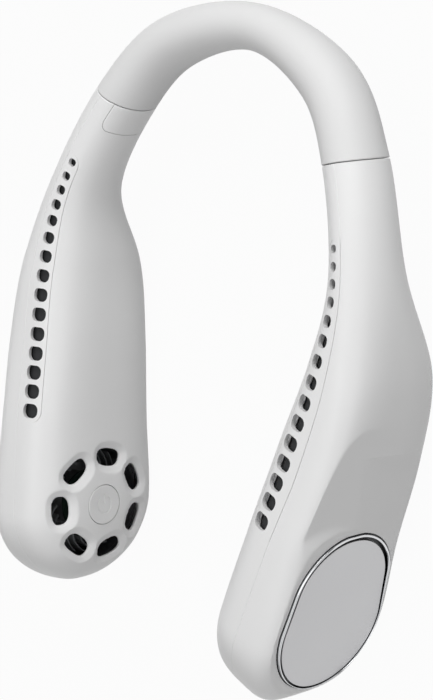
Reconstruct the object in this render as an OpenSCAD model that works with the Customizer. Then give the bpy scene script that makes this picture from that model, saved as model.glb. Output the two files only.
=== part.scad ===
// Bladeless neck fan: a soft band with a spring strip in it, and two arms.
// Each arm holds a cell, a centrifugal impeller and a strip of air vents.
// X runs across, +Y towards the nape, Z up. Z is 0 on the resting surface.

/* [Overall] */
// Length from the arm tips to the back of the band
overall_len = 200; // [185:1:215]
// Distance between the arms' centrelines at their widest
arm_span = 131; // [122:1:140]
// Height of an arm at its fan
fan_height = 52; // [50:0.5:56]
// Thickness of an arm at its fan, before the flat face is cut
fan_thick = 33; // [32:0.5:36]
// How much further the fan lies from the arm's tip than from its top
tip_room = 1; // [0:0.25:3]
// Height of the band's underside over the resting surface
band_lift = 10; // [6:0.5:16]

/* [Arm shells] */
// Wall of the moulded shells
wall = 2; // [1.6:0.1:2.4]
// Height of the rounding at an arm's tip, seen from the side
tip_round_h = 25.5; // [22:0.5:28]
// Length of the rounding at an arm's tip, seen from above
tip_round_t = 12.5; // [10:0.5:15]
// Distance of the flat outer face from the centreline
face_out = 13; // [12:0.1:13.8]
// Wall behind the flat outer face, where the plate is seated
face_wall = 3.4; // [3:0.1:3.8]
// Depth of the flat land cut on the underside
land_depth = 0.3; // [0.1:0.1:0.6]
// Gap between the band and an arm at their seam
seam_gap = 0.3; // [0.2:0.05:0.5]

/* [Vents] */
// Number of vents in a strip
vent_count = 15; // [9:1:15]
// Length of the largest vent, nearest to the fan
vent_len = 5; // [4:0.1:5.6]
// Width of the largest vent
vent_wide = 4.6; // [3.5:0.1:5]
// Distance from the crest in to the strip's inner edge, at the fan
strip_reach = 8.9; // [8:0.1:9.6]
// Thickness of the dust screen behind the vents
screen_thick = 0.8; // [0.6:0.1:1.2]

/* [Plate] */
// Radius of the plate's round end
plate_r = 20; // [18:0.25:20.5]
// Length of the plate
plate_len = 50; // [46:0.5:53]
// Thickness of the plate
plate_thick = 1.2; // [0.8:0.1:1.4]
// Width of the bezel ring round the plate
bezel_wide = 1.2; // [0.8:0.1:1.6]
// Width of the dished rim round the bezel
dish_wide = 2; // [1:0.1:2.6]
// Depth of the dished rim
dish_depth = 0.8; // [0.4:0.1:1]

/* [Intake and button] */
// Number of intakes in the ring
intake_count = 7; // [5:1:9]
// Radius of the ring on which the intakes lie
intake_ring_r = 15.6; // [15:0.1:16.5]
// Radial length of an intake
intake_len = 6.4; // [5.6:0.1:7.2]
// Height of the intakes' ring and the button over the fan's axis
ring_rise = 1.1; // [0:0.1:1.5]
// Diameter of the power button
button_d = 13; // [11:0.25:14]
// Travel of the power button
button_travel = 0.4; // [0.2:0.05:0.5]
// Running gap round the button
button_gap = 0.1; // [0.06:0.01:0.2]

/* [Impeller] */
// Clear width between the scroll and the shells
scroll_clear = 2.6; // [2.4:0.1:4]
// Height of the impeller
impeller_h = 10; // [7:0.25:10.5]
// Number of blades
blade_count = 24; // [16:1:30]
// Thickness of a blade
blade_thick = 0.8; // [0.6:0.1:1]
// Diameter of the impeller's hub
hub_d = 18; // [16.5:0.5:20]
// Diameter of the shaft
shaft_d = 2; // [1.5:0.1:2.5]
// Running gap round the shaft
shaft_gap = 0.03; // [0.02:0.01:0.06]

/* [Battery] */
// Diameter of the cell
cell_d = 14; // [12:0.5:14.5]
// Gap between the control board and the cell
cell_gap = 3.4; // [2:0.1:6]

/* [Band] */
// Width of the spring strip
spring_wide = 7; // [5:0.5:8]
// Thickness of the spring strip
spring_thick = 0.8; // [0.5:0.1:1.2]
// Diameter of the wires in the band and in the arms
wire_d = 2; // [1.4:0.1:2.4]

/* [Hidden] */
$fn = 48;

// Overrun of the cuts, and the clearance between pieces that are fitted together
cut = 1;
fit = 0.1;
// Clearance of a soft or shaped piece to the shell round it
ease = 0.3;

// The centreline from the band's middle (first) to an arm's tip (last), in equal steps.
// The places and half sizes there are shares of the sizes that they follow.
across_shares = [0, 0.5, 0.77, 0.963, 1, 0.956, 0.888, 0.82, 0.727];
along_shares = [1, 0.95, 0.845, 0.688, 0.546, 0.41, 0.27, 0.125, 0];
thick_shares = [0.43, 0.525, 0.56, 0.59, 0.83, 0.93, 0.935, 1, 0.77];
height_shares = [0.27, 0.365, 0.395, 0.475, 0.77, 0.862, 0.945, 1, 0.91];
lift_shares = [0.98, 0.85, 1.1, 1.22, 0.12, 0, 0, 0, 0.5];

// Places along that centreline, as shares of its steps
seam_share = 0.25;
plug_end_share = 0.268;
clamp_start_share = 0.272;
cover_end_share = 0.288;
spring_end_share = 0.296;
clamp_end_share = 0.305;
strip_start_share = 0.331;
first_vent_share = 0.341;
wire_settle_share = 0.52;
cell_top_share = 0.477;
last_vent_share = 0.719;
strip_end_share = 0.735;
// A small step along it, for directions and for cuts that run past an end
step_share = 0.004;
last_step = 1 / (len(across_shares) - 1);

// Roundness of the sections: 2 is an ellipse, more is squarer
round_share = 2;
square_share = 2.82;
square_top_share = 4.2;
square_low_share = 3;
squaring_start_share = 0.35;
squaring_end_share = 0.65;
// The parting line lies this share of the thickness outside the crest
parting_share = 0.12;
// The seam is turned a little: outside it lies further down the arm than inside
skew_share = 0.008;
skew_fade_share = 0.06;
least_share = 0.001;

function ends(t, s) = concat([s * t[1]], t, [2 * t[len(t) - 1] - t[len(t) - 2]]);
band_half_t = thick_shares[0] * fan_thick / 2;
across_pts = ends(across_shares * arm_span / 2, -1);
along_pts = ends([for (s = along_shares) s * (overall_len - band_half_t) - overall_len / 2], 1);
thick_pts = ends(thick_shares * fan_thick / 2, 1);
height_pts = ends(height_shares * fan_height / 2, 1);
lift_pts = ends(lift_shares * band_lift, 1);

// A smooth curve through a table's points
function blend(p, i, w) =
    0.5 * (2 * p[i + 1] + (p[i + 2] - p[i]) * w
    + (2 * p[i] - 5 * p[i + 1] + 4 * p[i + 2] - p[i + 3]) * w * w
    + (3 * p[i + 1] - p[i] - 3 * p[i + 2] + p[i + 3]) * w * w * w);
function at(p, u) =
    let (n = len(p) - 3, f = min(max(u, 0), 1) * n, i = min(floor(f), n - 1)) blend(p, i, f - i);
function spread(a, b, n) = [for (i = [0 : n]) a + (b - a) * i / n];
function turned(p) = [for (i = [len(p) - 1 : -1 : 0]) p[i]];
function ramp(u, a, b) = min(max((u - a) / (b - a), 0), 1);
function power(v, e) = sign(v) * pow(abs(v), e);
function flat(v) = [v[0], v[1], 0];
function unit(v) = v / norm(v);

// The centreline, and the directions along it and out of the part
function half_t(u) = at(thick_pts, abs(u));
function half_h(u) = at(height_pts, abs(u));
function path(u) =
    [sign(u) * at(across_pts, abs(u)), at(along_pts, abs(u)),
     at(lift_pts, abs(u)) + half_h(u) - land_depth];
function heading(u) = unit(flat(path(min(u + step_share, 1)) - path(u - step_share)));
function outward(u) = let (d = heading(u)) [-d[1], d[0], 0];
function left_of_tip(u) = norm(path(1) - path(u));

// The centreline's length over one whole of its share, near the tip and along the arm
tip_run = left_of_tip(1 - last_step) / last_step;
fan_share = 1 - (fan_height / 2 + tip_room) / tip_run;
arm_run = norm(path(fan_share) - path(cell_top_share)) / (fan_share - cell_top_share);

// A point of the section at u, at the angle a from outward, with the surface moved in by inset
function squareness(u, s) =
    round_share + (s - round_share) * ramp(abs(u), squaring_start_share, squaring_end_share);
function corner(u, a) =
    a > 180 ? squareness(u, square_low_share)
    : a > 90 ? squareness(u, square_share)
    : a > 0 ? squareness(u, square_top_share)
    : squareness(u, square_low_share);
function rounding(u, r, inset) =
    let (d = left_of_tip(abs(u)) - inset, q = r - inset)
    d >= q ? 1 : sqrt(max(1 - pow(1 - max(d, 0) / q, 2), least_share));
function section(u, a, inset) =
    let (e = 2 / corner(u, a),
         t = (half_t(u) - inset) * rounding(u, tip_round_t, inset),
         h = (half_h(u) - inset) * rounding(u, tip_round_h, inset))
    [t * power(cos(a), e), h * power(sin(a), e)];
function place(u, p) = path(u) + p[0] * outward(u) + [0, 0, p[1]];
function skewed(u, a) =
    u + sign(u) * skew_share * cos(a) * max(0, 1 - abs(abs(u) - seam_share) / skew_fade_share);
function on_skin(u, a, inset) = let (v = skewed(u, a)) place(v, section(v, a, inset));

// The angle at which the section lies a distance outside the crest, or inside it
function angle_out(u, d) = acos(pow(max(d, 0) / half_t(u), squareness(u, square_top_share) / 2));
function angle_in(u, d) = 180 - acos(pow(d / half_t(u), squareness(u, square_share) / 2));
function parting_out(u) = parting_share * half_t(u) * (1 - ramp(u, squaring_end_share, fan_share));
function parting(u) = angle_out(u, parting_out(u));

// The arms' stations: even steps, then steps that follow the round of the tip
shell_steps = 21;
tip_angles = [75, 60, 46, 34, 23, 13, 5];
tip_start = 1 - tip_round_h / tip_run;
arm_start = seam_share + seam_gap / tip_run;
shell_us = concat(
    spread(arm_start, tip_start, shell_steps),
    [for (a = tip_angles) 1 - tip_round_h * (1 - cos(a)) / tip_run]);

// A closed solid through rings of equal length
module skin(rings) {
    k = len(rings[0]);
    m = len(rings);
    sides = [for (j = [0 : m - 2], i = [0 : k - 1]) let (n = (i + 1) % k, a = j * k)
        each [[a + i, a + k + i, a + n], [a + n, a + k + i, a + k + n]]];
    caps = [for (i = [1 : k - 2])
        each [[0, i, i + 1], [(m - 1) * k, (m - 1) * k + i + 1, (m - 1) * k + i]]];
    polyhedron(points = [for (r = rings, p = r) p], faces = concat(sides, caps), convexity = 8);
}
// A curved wall: each ring is a row of outer points, then as many inner points the other way
module wall_skin(rings) {
    k = len(rings[0]);
    m = len(rings);
    c = (m - 1) * k;
    sides = [for (j = [0 : m - 2], i = [0 : k - 1]) let (n = (i + 1) % k, a = j * k)
        each [[a + i, a + k + i, a + n], [a + n, a + k + i, a + k + n]]];
    caps = [for (i = [0 : k / 2 - 2]) let (o = k - 1 - i)
        each [[i, i + 1, o], [i + 1, o - 1, o], [c + i, c + o, c + i + 1],
            [c + i + 1, c + o, c + o - 1]]];
    polyhedron(points = [for (r = rings, p = r) p], faces = concat(sides, caps), convexity = 8);
}
// A solid along the centreline that fills the section, drawn in by inset
section_sides = 16;
function full_ring(u, inset) =
    [for (i = [0 : section_sides - 1]) on_skin(u, 360 * i / section_sides - 90, inset)];
module filled(us, inset) { skin([for (u = us) full_ring(u, inset)]); }
// A bar along the centreline, from n0 to n1 outward and from z0 to z1 up
module bar(us, n0, n1, z0, z1) {
    skin([for (u = us) [for (p = [[n1, z0], [n1, z1], [n0, z1], [n0, z0]]) place(u, p)]]);
}
module left() { mirror([1, 0, 0]) children(); }

// The fan's own frame: x along the arm to the band, y up, z outward
fan_at = path(fan_share);
fan_back = -heading(fan_share);
fan_out = outward(fan_share);
fan_half_t = half_t(fan_share);
slant_angle = 1.2;
module in_fan() {
    translate(fan_at) rotate([0, 0, atan2(fan_back[1], fan_back[0])]) rotate([90, 0, 0]) children();
}
module in_ring() { in_fan() translate([0, ring_rise, 0]) children(); }
module in_face() {
    in_fan() translate([0, 0, face_out]) rotate([0, slant_angle, 0]) children();
}
function past_face(p, depth) =
    let (d = p - fan_at)
    d * fan_out - (face_out - depth) + tan(slant_angle) * (d * fan_back);
// The wall behind the flat face grows from the shells' own wall at the face's edge
face_room = 2.5;
face_ease = 2;
function under_face(p, o) =
    let (k = wall + (face_wall - wall) * ramp(past_face(o, 0), -face_room, face_ease - face_room))
    p - max(past_face(p, k), 0) * fan_out;

// The two halves of an arm's housing meet at the parting line on the crest
arc_steps = 13;
function wall_ring(u, a, under) =
    let (o = [for (b = a) on_skin(u, b, 0)],
         n = left_of_tip(u) < wall
             ? [for (i = [arc_steps : -1 : 0]) o[0] + (o[arc_steps] - o[0]) * i / arc_steps]
             : [for (i = [arc_steps : -1 : 0]) let (p = on_skin(u, a[i], wall))
                 under ? under_face(p, o[i]) : p])
    concat(o, n);
module outer_wall() {
    wall_skin([for (u = shell_us) wall_ring(u, spread(-90, parting(u), arc_steps), true)]);
}
module inner_wall() {
    wall_skin([for (u = shell_us) wall_ring(u, spread(parting(u), 270, arc_steps), false)]);
}
module below_land() {
    translate([-arm_span, -overall_len, -fan_height])
        cube([2 * arm_span, 2 * overall_len, fan_height]);
}

// The vent strip's inner edge draws in at both ends to a round corner
strip_corner_r = 3;
strip_far_share = 0.47;
function strip_line(u) =
    half_t(u) * (strip_far_share + (strip_reach / half_t(strip_end_share) - strip_far_share)
    * ramp(u, strip_start_share, strip_end_share));
function strip_edge(u) =
    let (d = min(u - strip_start_share, strip_end_share - u) * tip_run,
         k = max(1 - max(d, 0) / strip_corner_r, 0))
    strip_line(u) - strip_corner_r * (1 - sqrt(1 - k * k));
strip_steps = 16;
corner_share = strip_corner_r / tip_run;
strip_us = concat(
    [for (a = [0, 30, 60]) strip_start_share + corner_share * (1 - cos(a))],
    spread(strip_start_share + corner_share, strip_end_share - corner_share, strip_steps),
    [for (a = [60, 30, 0]) strip_end_share - corner_share * (1 - cos(a))]);
strip_arc = 4;
// The strip's wall from inset a down to inset b, with its edges moved out by m0 and m1
module strip_wall(us, a, b, m0, m1) {
    wall_skin([for (u = us) let (
        g = spread(angle_out(u, parting_out(u) + m0), angle_in(u, strip_edge(u) + m1), strip_arc))
        concat([for (v = g) on_skin(u, v, a)], [for (v = turned(g)) on_skin(u, v, b)])]);
}

// Rounded vents that grow towards the fan, with wider steps there
vent_in_share = 0.57;
vent_ease_share = 0.2;
vent_round_share = 0.38;
vent_angle = 7;
vent_start_len = 2.6;
vent_start_wide = 1.8;
vent_shift = 0.3;
function vent_size(q) =
    [vent_start_len + (vent_len - vent_start_len) * q,
     vent_start_wide + (vent_wide - vent_start_wide) * q];
module rounded(w, l, r) {
    for (s = [-1, 1]) {
        translate([s * (w / 2 - r), 0]) square([2 * r, l - 2 * r], center = true);
        for (t = [-1, 1]) translate([s * (w / 2 - r), t * (l / 2 - r)]) circle(r, $fn = 16);
    }
    square([w - 2 * r, l], center = true);
}
module vents() {
    for (i = [0 : vent_count - 1]) {
        q = i / (vent_count - 1);
        e = q + vent_ease_share * q * (q - 1);
        u = first_vent_share + (last_vent_share - first_vent_share) * e;
        s = vent_size(q);
        d = heading(u);
        translate(on_skin(u, angle_in(u, vent_in_share * strip_line(u) - vent_shift), wall + cut))
            rotate([0, 0, atan2(d[1], d[0])]) rotate([vent_angle, 0, 0])
            linear_extrude(wall + 3 * cut) rounded(s[0], s[1], min(s) * vent_round_share);
    }
}

// The plate's outline is the hull of a large circle and two smaller corners, moved out by m
plate_x = 2.4;
plate_corner_r = 13.5;
plate_end_h = 19;
plate_end_x = plate_x - plate_r + plate_len;
plate_rounds = [[plate_x, 0, plate_r],
    [plate_end_x - plate_corner_r, plate_end_h - plate_corner_r, plate_corner_r],
    [plate_end_x - plate_corner_r, plate_corner_r - plate_end_h, plate_corner_r]];
outline_points = 48;
function farthest(rounds, a) =
    let (r = [for (c = rounds) c[0] * cos(a) + c[1] * sin(a) + c[2]])
    rounds[search(max(r), r)[0]];
function round_outline(rounds, m, n) =
    [for (i = [0 : n - 1]) let (a = 360 * i / n, c = farthest(rounds, a))
        [c[0] + (c[2] + m) * cos(a), c[1] + (c[2] + m) * sin(a)]];
function lifted(outline, z) = [for (v = outline) [v[0], v[1], z]];
function plate_outline(m) = round_outline(plate_rounds, m, outline_points);
seat_depth = dish_depth + plate_thick;
module outline_block(m, z0, z1) {
    translate([0, 0, z0]) linear_extrude(z1 - z0) polygon(plate_outline(m));
}
module dish() {
    skin([lifted(plate_outline(bezel_wide + fit), -dish_depth),
        lifted(plate_outline(bezel_wide + dish_wide + dish_wide * cut / dish_depth), cut)]);
}

// The impeller fills the arm's height, within its spiral wall
scroll_wall = 1;
scroll_gap = 0.8;
scroll_grow = 1.6;
impeller_d = fan_height - 2 * (wall + scroll_clear + scroll_wall + scroll_grow + scroll_gap);

// Case screws stand under the plate, and run into long bosses on the inner shell
case_screw_d = 2;
case_head_d = 4;
case_head_h = 1.2;
case_screw_len = 8;
case_screw_drop = 7.5;
head_sink = 0.2;
boss_d = 5;
boss_clear = 2.5;
case_screw_x = impeller_d / 2 + scroll_gap + scroll_grow + scroll_wall + boss_clear + boss_d / 2;
case_screw_y = plate_end_h - case_screw_drop;
case_screws = [[case_screw_x, case_screw_y], [case_screw_x, -case_screw_y]];
face_z = face_out - tan(slant_angle) * case_screw_x;
case_head_z = face_z - seat_depth - head_sink - case_head_h;
// A short boss on the outer shell carries the screw's head, on a floor of this thickness
head_floor = 1.2;
boss_top = case_head_z - head_floor - fit;

// The motor's plate is screwed to three posts on the outer shell
motor_plate_z = 6;
motor_plate_h = 1.2;
lug_inset = 3;
motor_lug_r = impeller_d / 2 - lug_inset;
motor_plate_share = 0.75;
motor_plate_r = motor_plate_share * motor_lug_r;
motor_angles = [90, 210, 330];
post_d = 4.4;
post_z = motor_plate_z + motor_plate_h;
motor_screw_d = 1.6;
motor_screw_len = 4;
motor_head_d = 3;
motor_head_h = 0.9;

// Beyond the plate the flat face leans in towards the arm's upper edge. It starts down a ramp,
// and a sloping pad round the plate's rim is left standing.
facet_out = 12.3;
facet_angle = 5.9;
ramp_x = 22;
ramp_out = 13.2;
ramp_angle = 17;
pad_wide = 4;
pad_run = 6;
pad_drop = 3;
module past_plane() {
    translate([-fan_height, -2 * fan_height, 0]) cube([4 * fan_height, 4 * fan_height, fan_thick]);
}
module facet() {
    difference() {
        in_fan() intersection() {
            translate([0, 0, facet_out]) rotate([-facet_angle, 0, 0]) past_plane();
            translate([ramp_x, 0, ramp_out]) rotate([0, ramp_angle, 0]) past_plane();
        }
        in_face() skin([lifted(plate_outline(pad_wide + pad_run), -pad_drop),
            lifted(plate_outline(pad_wide - pad_run * cut / pad_drop), cut)]);
    }
}
module outer_shell() {
    color("white") difference() {
        union() {
            outer_wall();
            in_fan() {
                at_posts(post_z) cylinder(d = post_d, h = face_out - face_wall + wall / 2 - post_z);
                at_case_screws() translate([0, 0, case_head_z - head_floor])
                    cylinder(d = boss_d, h = head_floor + wall / 2);
            }
        }
        in_face() translate([-fan_height, -fan_height, 0])
            cube([3 * fan_height, 2 * fan_height, fan_thick]);
        facet();
        in_face() dish();
        in_face() outline_block(bezel_wide + fit, -seat_depth, cut);
        below_land();
        in_fan() at_case_screws() {
            cylinder(d = case_screw_d + 2 * fit, h = face_out);
            translate([0, 0, case_head_z]) cylinder(d = case_head_d + 2 * fit, h = face_out);
        }
        in_fan() at_posts(motor_plate_z) cylinder(d = motor_screw_d, h = motor_screw_len);
    }
}
module at_posts(z) {
    for (a = motor_angles) rotate([0, 0, a]) translate([motor_lug_r, 0, z]) children();
}
module at_case_screws() {
    for (p = case_screws) translate([p[0], p[1], 0]) children();
}

// The ring of intakes: each is a rounded wedge, wider on the outside, in a dished rim
intake_in_w = 7.6;
intake_out_w = 9.4;
intake_round = 2.7;
rim_wide = 1.6;
rim_depth = 0.8;
rim_low = 0.9;
wedge_points = 24;
wedge_rounds =
    let (x0 = intake_ring_r - intake_len / 2 + intake_round,
         x1 = intake_ring_r + intake_len / 2 - intake_round)
    [[x0, intake_in_w / 2 - intake_round, intake_round],
     [x1, intake_out_w / 2 - intake_round, intake_round],
     [x1, intake_round - intake_out_w / 2, intake_round],
     [x0, intake_round - intake_in_w / 2, intake_round]];
function wedge(m) = round_outline(wedge_rounds, m, wedge_points);
module intakes() {
    low = -fan_half_t - cut;
    for (i = [0 : intake_count - 1]) rotate([0, 0, 90 + 360 * i / intake_count]) {
        translate([0, 0, low]) linear_extrude(wall + rim_depth + 3 * cut) polygon(wedge(0));
        skin([lifted(wedge(rim_wide + rim_wide * (cut + rim_low) / rim_depth), low),
            lifted(wedge(0), rim_low + rim_depth - fan_half_t)]);
    }
}

// The button stands in a boss of the inner shell, and its flange bears on the boss's end.
// Heights here run outward from the inner side of the arm.
button_thick = 3;
flange_wide = 1.25;
flange_h = 0.8;
button_boss_wall = 2;
button_boss_z = button_thick - fan_half_t;
flange_z = button_boss_z + fit;
switch_gap = 0.05;
stem_d = 2.6;
stem_h = 0.8;
stem_z = flange_z + flange_h + switch_gap;
switch_wide = 6;
switch_h = 3;
board_thick = 1;
board_r = 11;
board_z = stem_z + stem_h + switch_h;
board_post_r = 9.2;
board_post_d = 2.6;
board_turns = [0, 2, 5];

// The charging port and its board stand over the arm's underside
port_len = 7.3;
port_wide = 9;
port_thick = 3.2;
port_wall = 0.35;
port_sink = 1.2;
tongue_thick = 0.7;
port_z = -5;
main_board_len = 12;
main_board_gap = 1;
port_x = case_screw_x + boss_d / 2 + main_board_gap + main_board_len / 2;
main_board_h = 14;
main_board_lift = 1.6;
main_board_z = port_z + port_thick / 2 + fit;
main_board_y = main_board_lift + wall - fan_height / 2;
board_corner = 2;
board_corner_x = main_board_len / 2 - board_corner;
board_corner_y = main_board_y + main_board_h - board_corner;

// A post on the inside of the inner shell, up to the height z
module post(d, z) {
    translate([0, 0, wall / 2 - fan_half_t]) cylinder(d = d, h = z + fan_half_t - wall / 2);
}
module inner_shell(with_button) {
    color("whitesmoke") difference() {
        union() {
            inner_wall();
            in_fan() at_case_screws() post(boss_d, boss_top);
            if (with_button) {
                in_ring() {
                    post(button_d + 2 * button_boss_wall, button_boss_z);
                    for (k = board_turns) rotate([0, 0, 90 + 360 * (k + 0.5) / intake_count])
                        translate([board_post_r, 0, 0]) post(board_post_d, board_z);
                }
                in_fan() for (s = [-1, 1]) translate([port_x + s * board_corner_x, board_corner_y, 0])
                    post(board_post_d, main_board_z);
            }
        }
        strip_wall(strip_us, -cut, wall + cut, cut, 0);
        cover_wall(-cut, cover_thick + fit, fit);
        in_ring() intakes();
        below_land();
        in_fan() at_case_screws() translate([0, 0, case_head_z - case_screw_len])
            cylinder(d = case_screw_d + fit, h = case_screw_len + case_head_h);
        if (with_button) {
            in_ring() translate([0, 0, -fan_half_t - cut])
                cylinder(d = button_d + 2 * button_gap, h = fan_half_t);
            in_fan() translate([port_x, wall + cut - fan_height / 2, port_z]) rotate([90, 0, 0])
                linear_extrude(wall + 2 * cut) port_outline(fit);
        }
    }
}

// The small cover over the clamp's screw, let into the inner shell at the seam
cover_thick = 1.2;
cover_top_angle = 119;
cover_low_angle = 215;
cover_arc = 6;
cover_steps = 3;
module cover_wall(a, b, m) {
    g = spread(cover_top_angle, cover_low_angle, cover_arc);
    wall_skin([for (u = spread(arm_start - m / tip_run, cover_end_share, cover_steps))
        concat([for (v = g) on_skin(u, v, a)], [for (v = turned(g)) on_skin(u, v, b)])]);
}
module clamp_cover() { color("white") cover_wall(0, cover_thick, 0); }

module vent_strip() {
    color("white") difference() {
        strip_wall(strip_us, 0, wall, -fit, -fit);
        vents();
    }
}
screen_inset = 1;
screen_us = spread(strip_start_share + step_share, strip_end_share - step_share, 12);
module vent_screen() {
    color("dimgray") wall_skin([for (u = screen_us) let (
        g = spread(parting(u), angle_in(u, strip_line(u) - screen_inset), strip_arc))
        concat([for (v = g) on_skin(u, v, wall + fit)],
            [for (v = turned(g)) on_skin(u, v, wall + fit + screen_thick)])]);
}
module bezel() {
    color("lightgray") in_face() difference() {
        outline_block(bezel_wide, -seat_depth, -fit);
        outline_block(fit, -seat_depth - cut, cut);
    }
}
module cover_plate() {
    color("silver") in_face() outline_block(0, -seat_depth, -seat_depth + plate_thick);
}

// The band: a sleeve with a plug at each end that sits in the arms' shells,
// and a way through it for the spring strip and the wires
sleeve_steps = 22;
channel_steps = 26;
channel_h = spring_wide + 2 * ease;
channel_inner = spring_thick / 2 + ease;
channel_outer = spring_thick / 2 + wire_d + 2 * ease;
module neck_sleeve() {
    run = plug_end_share + step_share;
    color("gainsboro") difference() {
        skin(concat(
            [full_ring(-plug_end_share, wall + ease), full_ring(-seam_share, wall + ease)],
            [for (u = spread(-seam_share, seam_share, sleeve_steps)) full_ring(u, 0)],
            [full_ring(seam_share, wall + ease), full_ring(plug_end_share, wall + ease)]));
        bar(spread(-run, run, channel_steps), -channel_inner, channel_outer, -channel_h / 2, channel_h / 2);
    }
}
strip_bend_steps = 30;
module bend_strip() {
    color("slategray") bar(spread(-spring_end_share, spring_end_share, strip_bend_steps),
        -spring_thick / 2, spring_thick / 2, -spring_wide / 2, spring_wide / 2);
}
wire_sides = 6;
wire_out = spring_thick / 2 + wire_d / 2 + ease;
function wire_ring(u, n, z) =
    [for (i = [0 : wire_sides - 1]) let (a = 360 * i / wire_sides)
        place(u, [n + wire_d / 2 * cos(a), z + wire_d / 2 * sin(a)])];
module band_wires() {
    run = clamp_start_share - step_share;
    color("crimson") skin([for (u = spread(-run, run, strip_bend_steps)) wire_ring(u, wire_out, 0)]);
}

// The clamp fills the arm behind the plug, and grips the strip's end
module strip_clamp() {
    color("gray") difference() {
        filled(spread(clamp_start_share, clamp_end_share, 2), wall + fit);
        bar(spread(clamp_start_share - step_share, spring_end_share + step_share, 3),
            -spring_thick / 2 - fit, spring_thick / 2 + fit,
            -spring_wide / 2 - fit, spring_wide / 2 + fit);
        bar(spread(clamp_start_share - step_share, clamp_end_share + step_share, 3),
            0, wire_out + wire_d / 2 + fit, -wire_d / 2 - fit, wire_d / 2 + fit);
    }
}

// The cell lies between the board and its place below the band, over the arm's underside.
// Its frame: x along the cell towards the band, y up, z outward.
cell_clear = 3.14;
cell_start = port_x + main_board_len / 2 + cell_gap;
cell_len = (fan_share - cell_top_share) * arm_run - cell_start;
cell_share = cell_top_share + cell_len / 2 / arm_run;
cell_low = half_h(cell_share) - wall - cell_clear - cell_d / 2;
cell_inset = 1;
cell_reach_share = 0.1;
cell_back = -unit(flat(path(cell_share + cell_reach_share) - path(cell_share - cell_reach_share)));
module in_cell() {
    translate(path(cell_share)) rotate([0, 0, atan2(cell_back[1], cell_back[0])]) rotate([90, 0, 0])
        translate([0, -cell_low, -cell_inset]) children();
}
cap_d = 5;
cap_h = 1;
module battery() {
    color("royalblue") in_cell() rotate([0, 90, 0]) {
        translate([0, 0, -cell_len / 2]) cylinder(d = cell_d, h = cell_len - cap_h);
        translate([0, 0, cell_len / 2 - cap_h]) cylinder(d = cap_d, h = cap_h);
    }
}
saddle_wide = 5;
saddle_rise = 1;
saddle_places_share = 0.34;
saddle_reach_share = 0.13;
module battery_cradle() {
    color("dimgray") for (s = [-1, 1]) difference() {
        intersection() {
            filled(spread(cell_share - saddle_reach_share, cell_share + saddle_reach_share, 4), wall + fit);
            in_cell() translate([s * cell_len * saddle_places_share, -cell_d, -cell_d - cell_inset])
                translate([-saddle_wide / 2, 0, 0])
                cube([saddle_wide, cell_d + saddle_rise, cell_d + wall]);
        }
        in_cell() rotate([0, 90, 0]) cylinder(d = cell_d + 2 * fit, h = 2 * cell_len, center = true);
    }
}

// The wires run beside the cell, from the clamp to the board or the motor
wire_bow = 1.5;
wire_run_out = cell_d / 2 - cell_inset + wire_d / 2 + ease + wire_bow;
wire_steps = 20;
wire_end_share = fan_share - cell_start / arm_run;
module arm_wires() {
    color("crimson") skin([for (u = spread(clamp_end_share, wire_end_share, wire_steps))
        let (w = ramp(u, clamp_end_share, wire_settle_share))
        wire_ring(u, wire_out + (wire_run_out - wire_out) * w, -cell_low * w)]);
}

// The spiral wall round the impeller grows from its tongue, below the duct, round the tip to the top
scroll_z = -7.5;
scroll_steps = 36;
tongue_angle = 345;
mouth_angle = 90;
function scroll_r(a) =
    impeller_d / 2 + scroll_gap + scroll_grow * (tongue_angle - a) / (tongue_angle - mouth_angle);
function scroll_arc(m) =
    [for (a = spread(tongue_angle, mouth_angle, scroll_steps)) (scroll_r(a) + m) * [cos(a), sin(a)]];
module motor_plate_outline(m) {
    circle(motor_plate_r + m);
    for (a = motor_angles) rotate([0, 0, a]) {
        translate([motor_lug_r, 0]) circle(post_d / 2 + m);
        translate([0, -post_d / 2 - m]) square([motor_lug_r, post_d + 2 * m]);
    }
}
module scroll() {
    color("dimgray") in_fan() difference() {
        union() {
            translate([0, 0, scroll_z]) linear_extrude(post_z - scroll_z)
                polygon(concat(scroll_arc(0), turned(scroll_arc(scroll_wall))));
            translate([0, 0, motor_plate_z]) linear_extrude(motor_plate_h)
                polygon(scroll_arc(scroll_wall / 2));
        }
        translate([0, 0, motor_plate_z - cut]) linear_extrude(motor_plate_h + 2 * cut)
            motor_plate_outline(fit);
    }
}

// The motor: a plate with a bearing tube, a core with six poles, and a rotor ring with its shaft
tube_wall = 1.5;
tube_z = -3;
tube_d = shaft_d + 2 * shaft_gap + 2 * tube_wall;
core_d = 13;
core_h = 5;
core_z = -1;
core_ring = 1.5;
pole_count = 6;
pole_wide = 2.4;
pole_face = 1.2;
rotor_gap = 0.4;
rotor_wall = 1.2;
rotor_h = 6.5;
rotor_d = core_d + 2 * rotor_gap + 2 * rotor_wall;
hub_wall = 1;
backplate_h = 1;
impeller_z = -6;
rotor_z = impeller_z + hub_wall;
module motor_plate() {
    color("dimgray") in_fan() difference() {
        union() {
            translate([0, 0, motor_plate_z]) linear_extrude(motor_plate_h) motor_plate_outline(0);
            translate([0, 0, tube_z]) cylinder(d = tube_d, h = motor_plate_z - tube_z + motor_plate_h / 2);
        }
        translate([0, 0, tube_z - cut]) cylinder(d = shaft_d + 2 * shaft_gap, h = fan_thick);
        at_posts(motor_plate_z - cut)
            cylinder(d = motor_screw_d + 2 * fit, h = motor_plate_h + 2 * cut);
    }
}
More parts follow.
